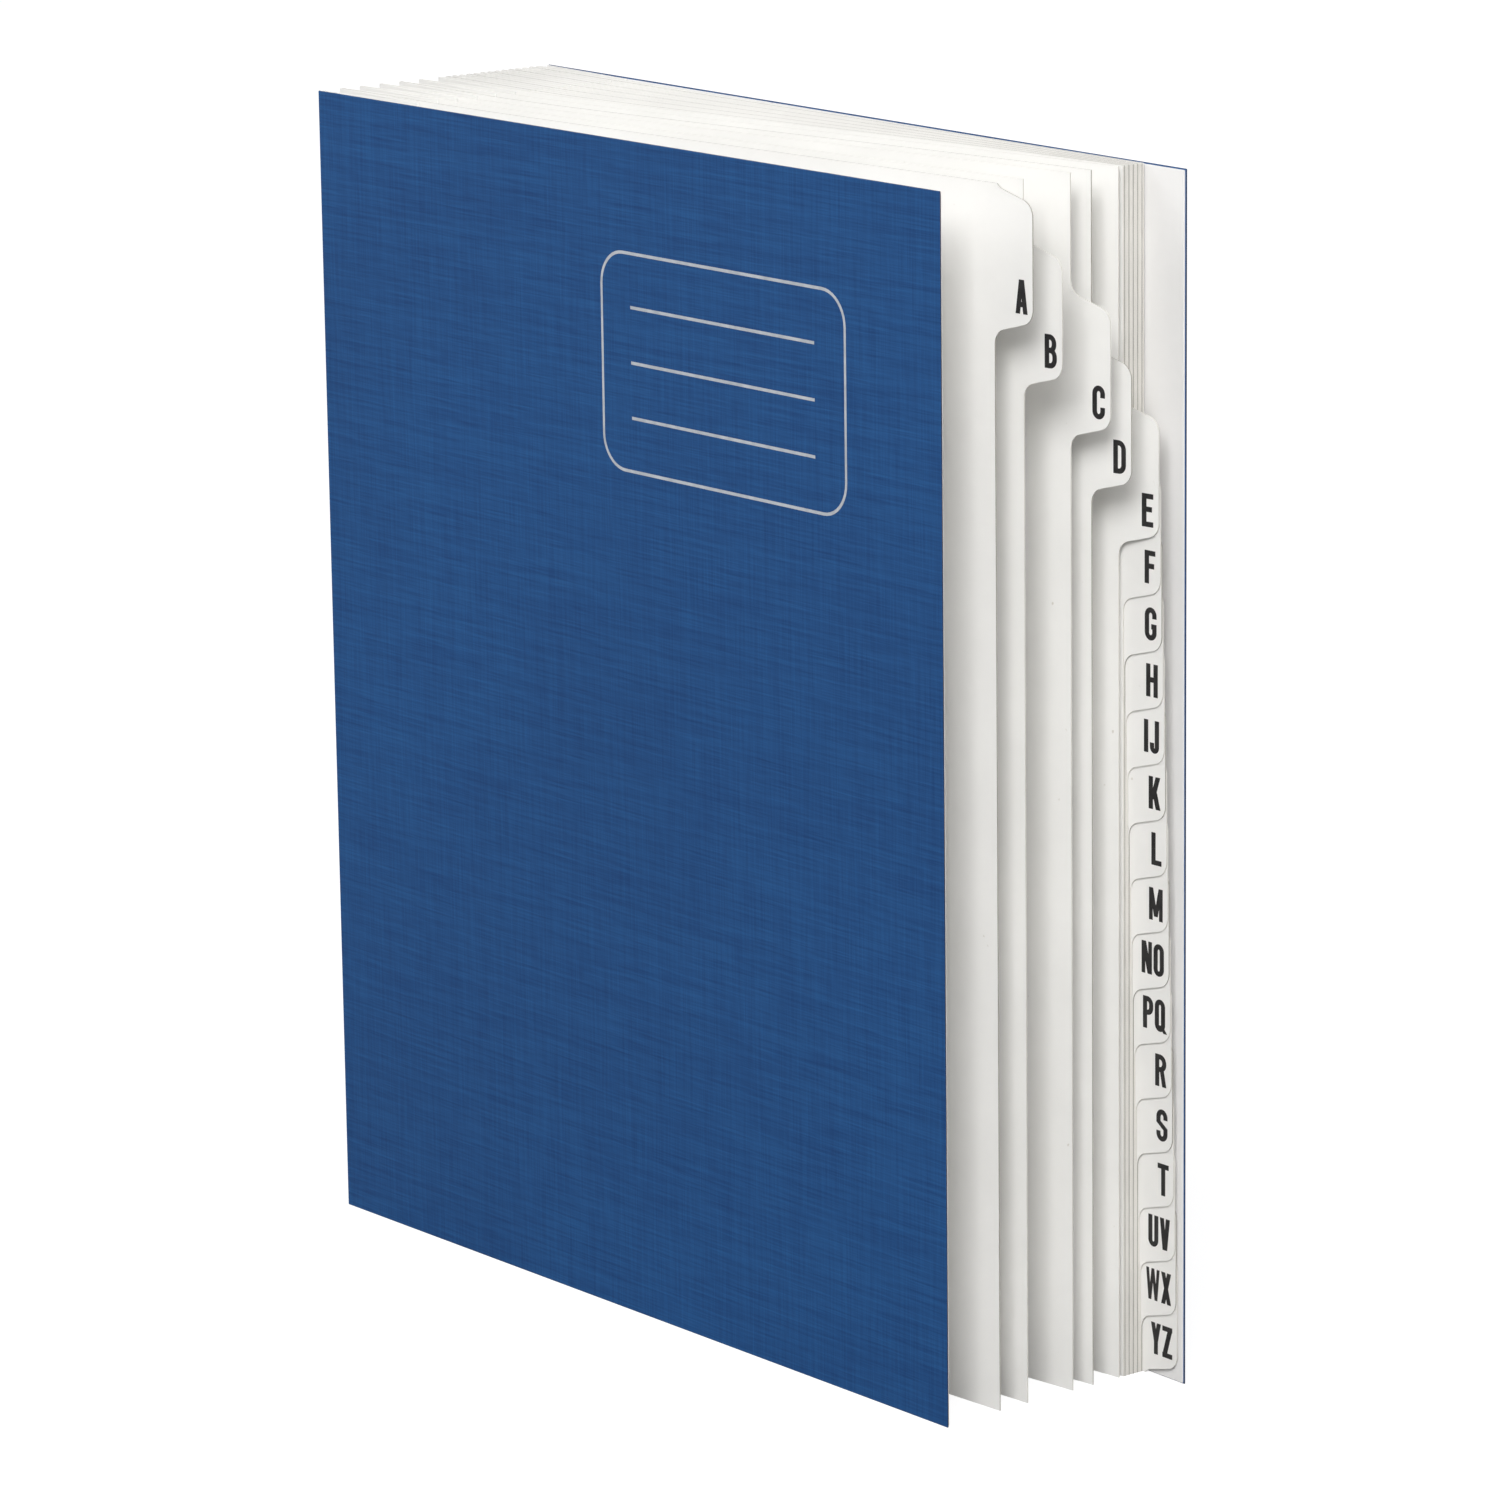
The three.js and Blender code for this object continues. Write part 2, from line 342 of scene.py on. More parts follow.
BACK_ALONG = Vector((BACK_WIDTH, FORE_DEPTH - SPINE_DEPTH)).normalized()
BACK_NORMAL = Vector((-BACK_ALONG.y, BACK_ALONG.x))


def back_face(u):
    """Depth of the back cover's inner face, which leans in toward the fore edge."""
    return SPINE_DEPTH + (FORE_DEPTH - SPINE_DEPTH) * u / BACK_WIDTH


def share_to_depth(u, share):
    """Depth at a share of the room between the covers' inner faces."""
    return BOARD_THICKNESS + share * (back_face(u) - BOARD_THICKNESS)


def depth_to_share(u, depth):
    return (depth - BOARD_THICKNESS) / (back_face(u) - BOARD_THICKNESS)


def spine_share(index):
    last = depth_to_share(0, SPINE_DEPTH - END_PLEAT)
    if index < LOOSE_COUNT:
        return LOOSE_SHARE / (LOOSE_COUNT + 1) * (index + 1)
    return LOOSE_SHARE + (last - LOOSE_SHARE) / (LAST_LEAF - LOOSE_COUNT) * (index - LOOSE_COUNT)


def fore_share(index):
    packed = max(index, LOOSE_COUNT)
    last = back_face(LEAF_WIDTH) - BACK_AIR - LEAF_THICKNESS / 2
    depth = last - (LAST_LEAF - packed) * (LEAF_THICKNESS + PACKED_AIR)
    share = depth_to_share(LEAF_WIDTH, depth)
    return share * LOOSE_SPREAD[index] if index < LOOSE_COUNT else share


def leaf_curve(index, steps):
    """(u, depth) stations of a leaf from its spine edge to its fore edge."""
    at_spine = spine_share(index)
    at_fore = fore_share(index)
    ratio = LOOSE_SLOPE if index < LOOSE_COUNT else PACKED_SLOPE
    slope = ratio * (at_fore - at_spine) / (LEAF_WIDTH - BEND_START)
    control = [(BEND_START, at_spine), (BEND_START + BEND_EASE, at_spine),
               (LEAF_WIDTH - BEND_RUN, at_fore - slope * BEND_RUN), (LEAF_WIDTH, at_fore)]
    stations = [(LEAF_START, share_to_depth(LEAF_START, at_spine))]
    for k in range(steps + 1):
        t = k / steps
        weights = ((1 - t) ** 3, 3 * t * (1 - t) ** 2, 3 * t * t * (1 - t), t ** 3)
        u = sum(w * p[0] for w, p in zip(weights, control))
        share = sum(w * p[1] for w, p in zip(weights, control))
        stations.append((u, share_to_depth(u, share)))
    return stations


# Outline of a leaf's fore edge, with its tab

SHOULDER_STEPS = 10

# How far the outline is drawn past the sheet before it is cut off there.
OVERRUN = 1


def tab_middle(index):
    return FILE_HEIGHT - TAB_END_MARGIN - TAB_PITCH * index


def shoulder():
    """Points of one rounded shoulder as (reach, rise), and its whole rise."""
    turn = math.pi / 2 - SHOULDER_SLOPE
    arc_reach = SHOULDER_RADIUS * (1 - math.cos(turn))
    arc_rise = SHOULDER_RADIUS * math.sin(turn)
    rise = 2 * arc_rise + (TAB_REACH - 2 * arc_reach) * math.tan(SHOULDER_SLOPE)
    inner = [(SHOULDER_RADIUS * (1 - math.cos(turn * k / SHOULDER_STEPS)),
              SHOULDER_RADIUS * math.sin(turn * k / SHOULDER_STEPS))
             for k in range(SHOULDER_STEPS + 1)]
    outer = [(TAB_REACH - a, rise - b) for a, b in reversed(inner)]
    return inner + outer, rise


def crossing(start, end, z):
    """The point at height z on the line from start to end."""
    (u0, z0), (u1, z1) = start, end
    return (u0 + (u1 - u0) * (z - z0) / (z1 - z0), z)


def fore_edge(middle):
    """Fore edge of a leaf with its tab, (u, z) from the bottom edge to the top edge."""
    points, rise = shoulder()
    half = TAB_EDGE / 2 + rise
    whole = [(LEAF_WIDTH, min(0, middle - half) - OVERRUN)]
    whole += [(LEAF_WIDTH + reach, middle - half + up) for reach, up in points]
    whole += [(LEAF_WIDTH + reach, middle + half - up) for reach, up in reversed(points)]
    whole.append((LEAF_WIDTH, max(FILE_HEIGHT, middle + half) + OVERRUN))
    edge = []
    for start, end in zip(whole, whole[1:]):
        if start[1] < 0 <= end[1]:
            edge.append(crossing(start, end, 0))
        if 0 < end[1] < FILE_HEIGHT:
            edge.append(end)
        if start[1] <= FILE_HEIGHT < end[1]:
            edge.append(crossing(start, end, FILE_HEIGHT))
    return edge


# Covers: an embossed board with a paper liner on its inner face

COVER_CELLS = 24
LINER_THICKNESS = 0.4
LINER_INSET = 0.35
BOARD_ROUND = 0.18
LINER_ROUND = 0.04


def make_plate(name, start, end, outward, layer, inset, material, edge_material):
    """One layer of a cover; layer holds the distances of its faces from the outer face."""
    along = (end - start).normalized()
    inward = Vector((-along.y, along.x)) * -outward
    width = (end - start).length
    stride = COVER_CELLS + 1
    count = stride * stride
    vertices = []
    for distance in layer:
        for r in range(stride):
            z = inset + (FILE_HEIGHT - 2 * inset) * r / COVER_CELLS
            for c in range(stride):
                reach = inset + (width - 2 * inset) * c / COVER_CELLS
                point = start + along * reach + inward * distance
                vertices.append(place(point.x, point.y, z))
    faces = []
    for r in range(COVER_CELLS):
        for c in range(COVER_CELLS):
            corner = r * stride + c
            quad = [corner, corner + 1, corner + 1 + stride, corner + stride]
            faces += [quad, [v + count for v in reversed(quad)]]
    ring = list(range(stride))
    ring += [r * stride + COVER_CELLS for r in range(1, stride)]
    ring += [COVER_CELLS * stride + c for c in range(COVER_CELLS - 1, -1, -1)]
    ring += [r * stride for r in range(COVER_CELLS - 1, 0, -1)]
    faces += [[b, a, a + count, b + count] for a, b in zip(ring, ring[1:] + ring[:1])]
    piece = mesh_from(name, vertices, faces, material)
    paint_last_faces(piece, len(ring), edge_material)
    fix_normals(piece)
    return piece


def make_cover(name, start, end, outward):
    """start and end are plan points of the outer face; outward is -1 or +1 in depth."""
    board_depth = BOARD_THICKNESS - LINER_THICKNESS
    board = make_plate(name + "_board", start, end, outward, (0, board_depth), 0,
                       LINEN, COVER_EDGE)
    bevel(board, BOARD_ROUND)
    liner = make_plate(name + "_liner", start, end, outward, (board_depth, BOARD_THICKNESS),
                       LINER_INSET, LINER, LINER)
    bevel(liner, LINER_ROUND)
    for piece in (board, liner):
        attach(piece, name)
        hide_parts(name)


def make_covers():
    make_cover("front_cover", Vector((0, 0)), Vector((FRONT_WIDTH, 0)), -1)
    outer = BACK_NORMAL * BOARD_THICKNESS
    make_cover("back_cover", Vector((0, SPINE_DEPTH)) + outer,
               Vector((BACK_WIDTH, FORE_DEPTH)) + outer, 1)


make_covers()


# Index leaves

LEAF_ROW = 8
LEAF_BEND_STEPS = 24
# Leaves whose number is a multiple of this get cut edges with painted shade, which outlines the
# packed tabs.
PAINTED_SHADE_EDGE_EVERY = 3

# A point of the fore edge belongs to the tab when it lies this far past the sheet.
TAB_STARTS = 0.001


def leaf_rows(edge):
    """The fore edge's points with the long straight runs between them divided up."""
    rows = [edge[0]]
    for (u0, z0), (u1, z1) in zip(edge, edge[1:]):
        parts = max(1, round((z1 - z0) / LEAF_ROW))
        rows += [(u0 + (u1 - u0) * k / parts, z0 + (z1 - z0) * k / parts)
                 for k in range(1, parts + 1)]
    return rows


def depth_along(stations, u):
    """Depth of a leaf's middle at u; the tab carries on the line of the last stretch."""
    k = 1
    while k < len(stations) - 1 and u > stations[k][0]:
        k += 1
    (u0, depth0), (u1, depth1) = stations[k - 1], stations[k]
    return depth0 + (depth1 - depth0) * (u - u0) / (u1 - u0)


def leaf_sheet(stations, rows):
    """One face of a leaf as (u, z) points, faces and the loop of points round its rim."""
    flat, grid, tips = [], [], []
    for edge_u, z in rows:
        grid.append(range(len(flat), len(flat) + len(stations)))
        flat += [(u, z) for u, _ in stations]
        if edge_u > LEAF_WIDTH + TAB_STARTS:
            tips.append(len(flat))
            flat.append((edge_u, z))
        else:
            tips.append(grid[-1][-1])
    faces = []
    for low, high, low_tip, high_tip in zip(grid, grid[1:], tips, tips[1:]):
        for c in range(len(stations) - 1):
            faces.append([low[c], low[c + 1], high[c + 1], high[c]])
        corners = [low[-1], low_tip, high_tip, high[-1]]
        tab_face = [v for k, v in enumerate(corners) if v not in corners[:k]]
        if len(tab_face) > 2:
            faces.append(tab_face)
    bottom = list(grid[0]) + [tips[0]] * (tips[0] != grid[0][-1])
    top = list(grid[-1]) + [tips[-1]] * (tips[-1] != grid[-1][-1])
    loop = bottom + tips[1:-1] + top[::-1] + [row[0] for row in reversed(grid[1:-1])]
    return flat, faces, loop


def make_leaf(index):
    """One sheet of card with its tab, as rows that run from the spine to the cut edge."""
    stations = leaf_curve(index, LEAF_BEND_STEPS)
    flat, faces, loop = leaf_sheet(stations, leaf_rows(fore_edge(tab_middle(index))))
    count = len(flat)
    vertices = [place(u, depth_along(stations, u) + side * LEAF_THICKNESS / 2, z)
                for side in (-1, 1) for u, z in flat]
    back = [[v + count for v in reversed(face)] for face in faces]
    walls = [[a, a + count, b + count, b] for a, b in zip(loop, loop[1:] + loop[:1])]
    piece = mesh_from("leaf_" + LEAF_NAMES[index], vertices, faces + back + walls, CARD)
    # Every third leaf's cut edges get painted shade.
    painted_shade = index % PAINTED_SHADE_EDGE_EVERY == 0
    paint_last_faces(piece, len(walls), PAINTED_SHADE_CARD_EDGE if painted_shade else CARD_EDGE)
    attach(piece, "file_block")
    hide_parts("divider_" + LEAF_NAMES[index])


for leaf_index in range(LEAF_COUNT):
    make_leaf(leaf_index)


# Concertina spine: one folded strip, whose two end pleats are glued to the covers

FOLD_STEPS = 12
PLEAT_ROWS = 12


def leaf_depth(index, u):
    """Depth of a leaf's middle among the pleats, where the leaf runs straight."""
    return share_to_depth(u, spine_share(index))


def half_turn(u, depth, radius, bulge):
    """Half-turn from low to high depth; bulge is +1 toward the fore edge, -1 away from it."""
    return [(u + bulge * radius * math.sin(math.pi * k / FOLD_STEPS),
             depth - radius * math.cos(math.pi * k / FOLD_STEPS)) for k in range(FOLD_STEPS + 1)]


def pleat_paths():
    """Both faces of the strip in plan, and where each leaf's fold has its middle point."""
    crease = PLEAT_DEPTH - CREASE_OUTSIDE
    spine_side = [(LEAF_START, BOARD_THICKNESS + PLEAT_CLEARANCE + PLEAT_STRIP)]
    leaf_side = [(LEAF_START, BOARD_THICKNESS + PLEAT_CLEARANCE)]
    folds = []
    for k in range(LEAF_COUNT + 1):
        before = BOARD_THICKNESS if k == 0 else leaf_depth(k - 1, PLEAT_DEPTH)
        after = back_face(PLEAT_DEPTH) if k == LEAF_COUNT else leaf_depth(k, PLEAT_DEPTH)
        middle = (before + after) / 2
        spine_side += half_turn(crease, middle, PLEAT_INNER_RADIUS, 1)
        leaf_side += half_turn(crease, middle, CREASE_OUTSIDE, 1)
        if k < LEAF_COUNT:
            folds.append(len(spine_side) + FOLD_STEPS // 2)
            spine_side += half_turn(LEAF_START, leaf_depth(k, LEAF_START), FOLD_OUTSIDE, -1)
            leaf_side += half_turn(LEAF_START, leaf_depth(k, LEAF_START), FOLD_INSIDE, -1)
    last = back_face(LEAF_START) - PLEAT_CLEARANCE
    spine_side.append((LEAF_START, last - PLEAT_STRIP))
    leaf_side.append((LEAF_START, last))
    return spine_side, leaf_side, folds


def make_strip(name, spine_side, leaf_side):
    """A stretch of the folded strip as a closed sheet, with rows up its height."""
    path = leaf_side + spine_side[::-1]
    count = len(path)
    vertices = [place(u, depth, FILE_HEIGHT * r / PLEAT_ROWS)
                for r in range(PLEAT_ROWS + 1) for u, depth in path]
    faces = []
    for r in range(PLEAT_ROWS):
        low, high = r * count, (r + 1) * count
        for a in range(count):
            b = (a + 1) % count
            faces.append([low + b, low + a, high + a, high + b])
    top = PLEAT_ROWS * count
    for a in range(len(leaf_side) - 1):
        end = [a, a + 1, count - 2 - a, count - 1 - a]
        faces += [end, [top + v for v in reversed(end)]]
    piece = mesh_from(name, vertices, faces, PLEAT, PLEAT_SMOOTH_ANGLE)
    fix_normals(piece)
    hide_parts("spine_gusset")
    return piece


def swing(strip):
    """Bakes an end pleat's place into its mesh."""
    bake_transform(strip)


def make_spine():
    spine_side, leaf_side, folds = pleat_paths()
    first, last = folds[0], folds[-1]
    middle = make_strip("pleats", spine_side[first:last + 1], leaf_side[first:last + 1])
    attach(middle, "file_block")
    front = make_strip("pleat_front_end", spine_side[:first + 1], leaf_side[:first + 1])
    swing(front)
    back = make_strip("pleat_back_end", spine_side[last:], leaf_side[last:])
    swing(back)


make_spine()


# Strokes of the printed marks, as flat shapes

STEM = 1.5
BAR = 1.3
DEGREES_PER_STEP = 9

# The most of a letter's width that the round part of a bowl takes, as a share.
BOWL_SHARE = 0.55

# An arc whose stroke is wider than its radius keeps this radius inside.
SMALLEST_RADIUS = 0.05


def box_shape(x0, y0, x1, y1):
    return [[(x0, y0), (x1, y0), (x1, y1), (x0, y1)]]


def slant(x0, y0, x1, y1, width=STEM):
    """A sloping stroke with level ends, from the middle of one end to the other."""
    half = width / 2
    return [[(x0 - half, y0), (x0 + half, y0), (x1 + half, y1), (x1 - half, y1)]]


def arc(x, y, reach, rise, start, end, stem=STEM, bar=BAR):
    """A stretch of an oval ring round x, y; angles in degrees, counted from +x."""
    steps = max(2, round(abs(end - start) / DEGREES_PER_STEP))
    inner_reach = max(reach - stem, SMALLEST_RADIUS)
    inner_rise = max(rise - bar, SMALLEST_RADIUS)
    points = []
    for k in range(steps + 1):
        angle = math.radians(start + (end - start) * k / steps)
        points.append(((x + reach * math.cos(angle), y + rise * math.sin(angle)),
                       (x + inner_reach * math.cos(angle), y + inner_rise * math.sin(angle))))
    return [[a, c, d, b] for (a, b), (c, d) in zip(points, points[1:])]


def bowl(low, high, width):
    """The right-hand bowl of B, D, P and R, closed against the stem."""
    reach = min(width * BOWL_SHARE, (high - low) / 2)
    shape = box_shape(STEM / 2, high - BAR, width - reach, high)
    shape += box_shape(STEM / 2, low, width - reach, low + BAR)
    shape += box_shape(width - STEM, low + reach, width, high - reach)
    shape += arc(width - reach, high - reach, reach, reach, 0, 90)
    return shape + arc(width - reach, low + reach, reach, reach, -90, 0)


# Index capitals, drawn narrow and bold

MARK_HEIGHT = 8.2

# How far the strokes of A and of V stand off the middle where they meet.
A_APEX = 0.12
V_APEX = 0.1


def glyph(letter, w):
    """Strokes of a capital w wide, and the width that it takes up.

    h is its height, s and t are the thickness of its stems and bars, n is that of a thinner
    stem and r the radius of its round ends. The fractions are shares of those.
    """
    h, s, t = MARK_HEIGHT, STEM, BAR
    r = w / 2
    left, right = box_shape(0, 0, s, h), box_shape(w - s, 0, w, h)
    top_arc, bottom_arc = arc(r, h - r, r, r, 0, 180), arc(r, r, r, r, 180, 360)
    left_side = box_shape(0, r, s, h - r)
    if letter == "A":
        return (slant(s / 2, 0, r - A_APEX, h) + slant(w - s / 2, 0, r + A_APEX, h)
                + box_shape(w * 0.25, h * 0.2, w * 0.75, h * 0.2 + t)), w
    if letter == "B":
        return left + bowl(0, h * 0.53 + t / 2, w) + bowl(h * 0.53 - t / 2, h, w * 0.95), w
    if letter == "C":
        return (top_arc + bottom_arc + left_side + box_shape(w - s, h * 0.64, w, h - r)
                + box_shape(w - s, r, w, h * 0.36)), w
    if letter == "D":
        return left + bowl(0, h, w), w
    if letter in "EF":
        shape = left + box_shape(0, h - t, w * 0.9, h)
        shape += box_shape(0, h * 0.53 - t / 2, w * 0.8, h * 0.53 + t / 2)
        return shape + (box_shape(0, 0, w * 0.9, t) if letter == "E" else []), w * 0.9
    if letter == "G":
        return (top_arc + bottom_arc + left_side + box_shape(w - s, h * 0.66, w, h - r)
                + box_shape(w - s, r, w, h * 0.5)
                + box_shape(w * 0.55, h * 0.5 - t, w, h * 0.5)), w
    if letter == "H":
        return left + right + box_shape(0, h * 0.52 - t / 2, w, h * 0.52 + t / 2), w
    if letter == "I":
        return left, s
    if letter == "J":
        w *= 0.86
        r = w / 2
        return (box_shape(w - s, r, w, h) + arc(r, r, r, r, 180, 360)
                + box_shape(0, r, s, h * 0.32)), w
    if letter == "K":
        return (left + slant(s * 0.9, h * 0.3, w - s * 0.55, h, s * 1.1)
                + slant(w - s * 0.5, 0, w * 0.45, h * 0.62, s * 1.1)), w
    if letter == "L":
        return left + box_shape(0, 0, w * 0.88, t), w * 0.88
    if letter == "M":
        w *= 1.2
        n = s * 0.88
        return (box_shape(0, 0, n, h) + box_shape(w - n, 0, w, h)
                + slant(n * 0.6, h, w / 2, h * 0.12, n)
                + slant(w - n * 0.6, h, w / 2, h * 0.12, n)), w
    if letter == "N":
        n = s * 0.88
        return (box_shape(0, 0, n, h) + box_shape(w - n, 0, w, h)
                + slant(n * 0.6, h, w - n * 0.6, 0, n * 1.2)), w
    if letter in "OQ":
        shape = top_arc + bottom_arc + left_side + box_shape(w - s, r, w, h - r)
        tail = slant(w * 0.58, h * 0.2, w * 1.02, -h * 0.03, s * 0.9)
        return shape + (tail if letter == "Q" else []), w
    if letter == "P":
        return left + bowl(h * 0.42, h, w), w
    if letter == "R":
        return left + bowl(h * 0.45, h, w) + slant(w - s * 0.5, 0, w * 0.6, h * 0.5), w
    if letter == "S":
        spine = [(0, h * 0.62), (0, h * 0.58), (w - s, h * 0.36), (w - s, h * 0.38),
                 (w, h * 0.38), (w, h * 0.42), (s, h * 0.64), (s, h * 0.62)]
        return (top_arc + bottom_arc + box_shape(w - s, h * 0.68, w, h - r)
                + box_shape(0, r, s, h * 0.32) + box_shape(0, h * 0.62, s, h - r)
                + box_shape(w - s, r, w, h * 0.38) + [spine]), w
    if letter == "T":
        return box_shape(0, h - t, w, h) + box_shape(r - s / 2, 0, r + s / 2, h), w
    if letter == "U":
        return bottom_arc + box_shape(0, r, s, h) + box_shape(w - s, r, w, h), w
    if letter == "V":
        return slant(s / 2, h, r - V_APEX, 0) + slant(w - s / 2, h, r + V_APEX, 0), w
    if letter == "W":
        w *= 1.35
        n = s * 0.7
        return (slant(n / 2, h, w * 0.27, 0, n) + slant(w / 2, h, w * 0.27, 0, n)
                + slant(w / 2, h, w * 0.73, 0, n) + slant(w - n / 2, h, w * 0.73, 0, n)), w
    if letter == "X":
        return slant(s / 2, 0, w - s / 2, h) + slant(s / 2, h, w - s / 2, 0), w
    if letter == "Y":
        return (slant(s / 2, h, r, h * 0.4) + slant(w - s / 2, h, r, h * 0.4)
                + box_shape(r - s / 2, 0, r + s / 2, h * 0.44)), w
    if letter == "Z":
        return (box_shape(0, 0, w, t) + box_shape(0, h - t, w, h)
                + slant(s * 0.55, t * 0.5, w - s * 0.55, h - t * 0.5, s * 1.1)), w
    raise ValueError("no strokes for " + letter)


# Printed marks: thin ink, made of strokes that are joined into one outline

PRINT_HEIGHT = 0.02

# A shape whose doubled area, in square millimetres, is less than this has no inside. Corners
# closer together than the merge distance, in millimetres, become one.
SMALLEST_DOUBLED_AREA = 1e-6
MERGE_DISTANCE = 1e-5


def union_of(shapes):
    """Corners and triangles that cover the union of flat shapes."""
    corners, outlines = [], []
    for shape in shapes:
        twice_area = sum(x0 * y1 - x1 * y0
                         for (x0, y0), (x1, y1) in zip(shape, shape[1:] + shape[:1]))
        if abs(twice_area) < SMALLEST_DOUBLED_AREA:
            continue
        anticlockwise = shape if twice_area > 0 else shape[::-1]
        outlines.append(list(range(len(corners), len(corners) + len(shape))))
        corners += [Vector(p) for p in anticlockwise]
    flat, _, triangles, _, _, sources = delaunay_2d_cdt(corners, [], outlines, 0, MERGE_DISTANCE)
    covered = [t for t, source in zip(triangles, sources) if source]
    used = sorted({v for t in covered for v in t})
    order = {v: k for k, v in enumerate(used)}
    return [flat[v] for v in used], [[order[v] for v in t] for t in covered]


def make_print(name, shapes, point, body, material):
    """Ink over the union of flat shapes; point(x, y, lift) gives its place in the frame."""
    flat, triangles = union_of(shapes)
    count = len(flat)
    vertices = [point(p.x, p.y, lift) for lift in (PRINT_HEIGHT, -PRINT_HEIGHT) for p in flat]
    sides = {(t[k], t[k - 2]) for t in triangles for k in range(3)}
    rim = sorted((a, b) for a, b in sides if (b, a) not in sides)
    faces = triangles + [[v + count for v in reversed(t)] for t in triangles]
    faces += [[a, a + count, b + count, b] for a, b in rim]
    piece = mesh_from(name, vertices, faces, material)
    fix_normals(piece)
    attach(piece, body)


MARK_WIDTH = 4.1
PAIR_WIDTH = 3.75
PAIR_GAP = 0.6
MARK_INSET = 1.7
MARK_DROP = 12.3


def make_index_mark(index):
    """The leaf's capitals, set against the outer edge of its tab."""
    stations = leaf_curve(index, LEAF_BEND_STEPS)
    text = LEAF_NAMES[index].upper()
    shapes, pen = [], 0.0
    for letter in text:
        strokes, width = glyph(letter, MARK_WIDTH if len(text) == 1 else PAIR_WIDTH)
        shapes += [[(x + pen, y) for x, y in shape] for shape in strokes]
        pen += width + PAIR_GAP
    left = LEAF_WIDTH + TAB_REACH - MARK_INSET - (pen - PAIR_GAP)
    base = tab_middle(index) - MARK_DROP

    def point(x, y, lift):
        depth = depth_along(stations, left + x) - LEAF_THICKNESS / 2 - lift
        return place(left + x, depth, base + y)

    make_print("index_mark_" + LEAF_NAMES[index], shapes, point, "file_block", INK)


for leaf_index in range(LEAF_COUNT):
    make_index_mark(leaf_index)


# A plain ruled label in silver line, which stands in for the cover's printed title

LABEL_LEFT = 120
LABEL_RIGHT = 216
LABEL_LOW = 221
LABEL_HIGH = 277
LABEL_CORNER = 9
LABEL_LINE = 0.8
LABEL_RULES = 3
RULE_INSET = 12


def make_label():
    width, height = LABEL_RIGHT - LABEL_LEFT, LABEL_HIGH - LABEL_LOW
    c, line = LABEL_CORNER, LABEL_LINE
    shapes = []
    for x, y, start in ((width - c, height - c, 0), (c, height - c, 90),
                        (c, c, 180), (width - c, c, 270)):
        shapes += arc(x, y, c, c, start, start + 90, line, line)
    shapes += box_shape(c, 0, width - c, line) + box_shape(c, height - line, width - c, height)
    shapes += box_shape(0, c, line, height - c) + box_shape(width - line, c, width, height - c)
    for k in range(LABEL_RULES):
        y = height * (k + 1) / (LABEL_RULES + 1)
        shapes += box_shape(RULE_INSET, y - line / 2, width - RULE_INSET, y + line / 2)

    def point(x, y, lift):
        return place(LABEL_LEFT + x, -lift, LABEL_LOW + y)

    make_print("cover_label", shapes, point, "front_cover", SILVER)


make_label()


# Stage: a floor and a backdrop that show white

FLOOR_HALF = 6.0
FLOOR_COLOR = (0.26, 0.26, 0.26, 1)
FLOOR_ROUGHNESS = 0.9
PLAIN_WHITE = (1, 1, 1, 1)
WORLD_LIGHT = 0.28
BACKDROP_LIGHT = 1.0

# What the floor adds for the camera alone, so that it shows white but keeps its shadow.
FLOOR_GLOW = 0.83


def make_floor():
    material, tree, shader = new_material("floor_white")
    feed(tree, shader.inputs["Base Color"], FLOOR_COLOR)
    feed(tree, shader.inputs["Roughness"], FLOOR_ROUGHNESS)
    feed(tree, shader.inputs["Emission Color"], PLAIN_WHITE)
    path = node(tree, "ShaderNodeLightPath")
    glow = calculate(tree, "MULTIPLY", path.outputs["Is Camera Ray"], FLOOR_GLOW)
    feed(tree, shader.inputs["Emission Strength"], glow)
    corners = [(-FLOOR_HALF, -FLOOR_HALF, 0), (FLOOR_HALF, -FLOOR_HALF, 0),
               (FLOOR_HALF, FLOOR_HALF, 0), (-FLOOR_HALF, FLOOR_HALF, 0)]
    mesh_from("floor", corners, [(0, 1, 2, 3)], material)


def make_world():
    """White where it is seen, mirrored or seen through; a weaker, even light on the sorter."""
    world = bpy.data.worlds.new("studio")
    bpy.context.scene.world = world
    world.use_nodes = True
    tree = world.node_tree
    light = tree.nodes["Background"]
    feed(tree, light.inputs["Color"], PLAIN_WHITE)
    feed(tree, light.inputs["Strength"], WORLD_LIGHT)
    backdrop = node(tree, "ShaderNodeBackground")
    feed(tree, backdrop.inputs["Color"], PLAIN_WHITE)
    feed(tree, backdrop.inputs["Strength"], BACKDROP_LIGHT)
    path = node(tree, "ShaderNodeLightPath")
    seen = calculate(tree, "MAXIMUM", path.outputs["Is Camera Ray"], path.outputs["Is Glossy Ray"])
    seen = calculate(tree, "MAXIMUM", seen, path.outputs["Is Transmission Ray"])
    mix = node(tree, "ShaderNodeMixShader")
    feed(tree, mix.inputs[0], seen)
    feed(tree, mix.inputs[1], light.outputs[0])
    feed(tree, mix.inputs[2], backdrop.outputs[0])
    feed(tree, tree.nodes["World Output"].inputs["Surface"], mix.outputs[0])


make_floor()
make_world()


# Lamps

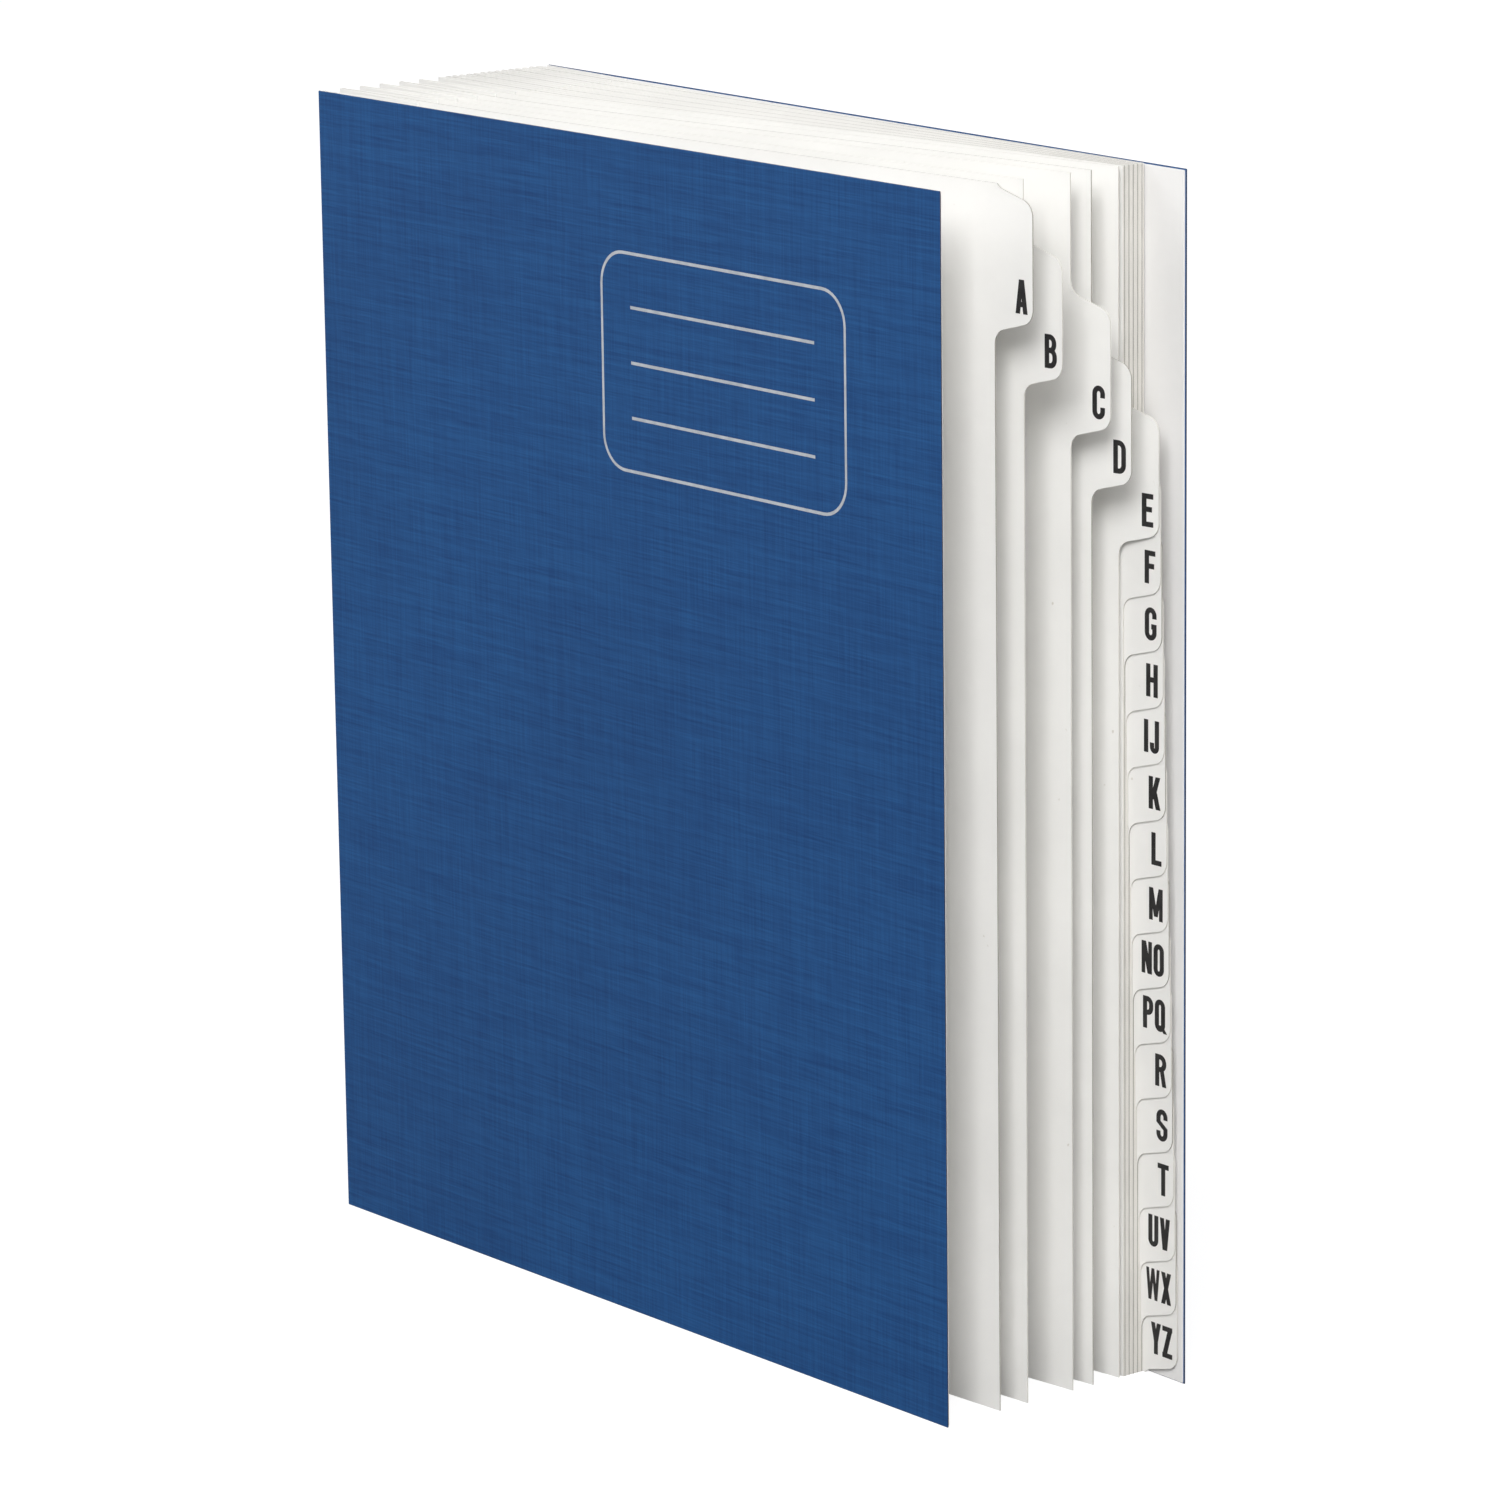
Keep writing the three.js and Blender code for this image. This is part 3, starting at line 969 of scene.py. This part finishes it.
# Each lamp's place and aim, the side of its square, all in metres, and its watts.
LAMPS = {
    "sheen": ((-0.7, -0.85, 0.95), (-0.05, 0, 0.2), 0.7, 4.4),
    "key": ((2.05, -2.35, 2.6), (0.1, 0, 0.15), 1.8, 117),
    "side": ((2.7, -0.75, 1.5), (0.1, 0, 0.2), 1.2, 21),
    "back": ((-1.6, 2.3, 1.3), (0, 0, 0.15), 1.6, 12),
}


def make_lamp(name, location, aim, side, watts):
    data = bpy.data.lights.new(name, "AREA")
    data.shape = "SQUARE"
    data.size = side
    data.energy = watts
    lamp = bpy.data.objects.new(name, data)
    lamp.location = location
    direction = Vector(aim) - Vector(location)
    lamp.rotation_euler = direction.to_track_quat("-Z", "Y").to_euler()
    bpy.context.scene.collection.objects.link(lamp)


for lamp_name, lamp_values in LAMPS.items():
    make_lamp(lamp_name, *lamp_values)


# Camera

# Fitted to the covers' corners in the photo: its angles, its focal length in pixels of the
# photo and its place in the frame in millimetres.
CAMERA_YAW = math.radians(-51.20)
CAMERA_PITCH = math.radians(13.04)
CAMERA_ROLL = math.radians(0.75)
CAMERA_FOCAL = 6819.34
CAMERA_PLACE = (1327.36, -1068.98, 538.61)
PHOTO_WIDTH = 1500
SENSOR_WIDTH = 36
CLIP_END = 100


def make_camera():
    data = bpy.data.cameras.new("camera")
    data.sensor_width = SENSOR_WIDTH
    data.lens = CAMERA_FOCAL / PHOTO_WIDTH * SENSOR_WIDTH
    data.clip_end = CLIP_END
    camera = bpy.data.objects.new("camera", data)
    forward = Vector((math.sin(CAMERA_YAW) * math.cos(CAMERA_PITCH),
                      math.cos(CAMERA_YAW) * math.cos(CAMERA_PITCH),
                      -math.sin(CAMERA_PITCH)))
    right = Vector((math.cos(CAMERA_YAW), -math.sin(CAMERA_YAW), 0))
    down = forward.cross(right)
    turned_right = right * math.cos(CAMERA_ROLL) + down * math.sin(CAMERA_ROLL)
    turned_down = -right * math.sin(CAMERA_ROLL) + down * math.cos(CAMERA_ROLL)
    rotation = Matrix((turned_right, -turned_down, -forward)).transposed()
    camera.matrix_world = Matrix.Translation(Vector(CAMERA_PLACE) * MM) @ rotation.to_4x4()
    bpy.context.scene.collection.objects.link(camera)
    bpy.context.scene.camera = camera


make_camera()
bpy.context.scene.view_settings.view_transform = "Standard"
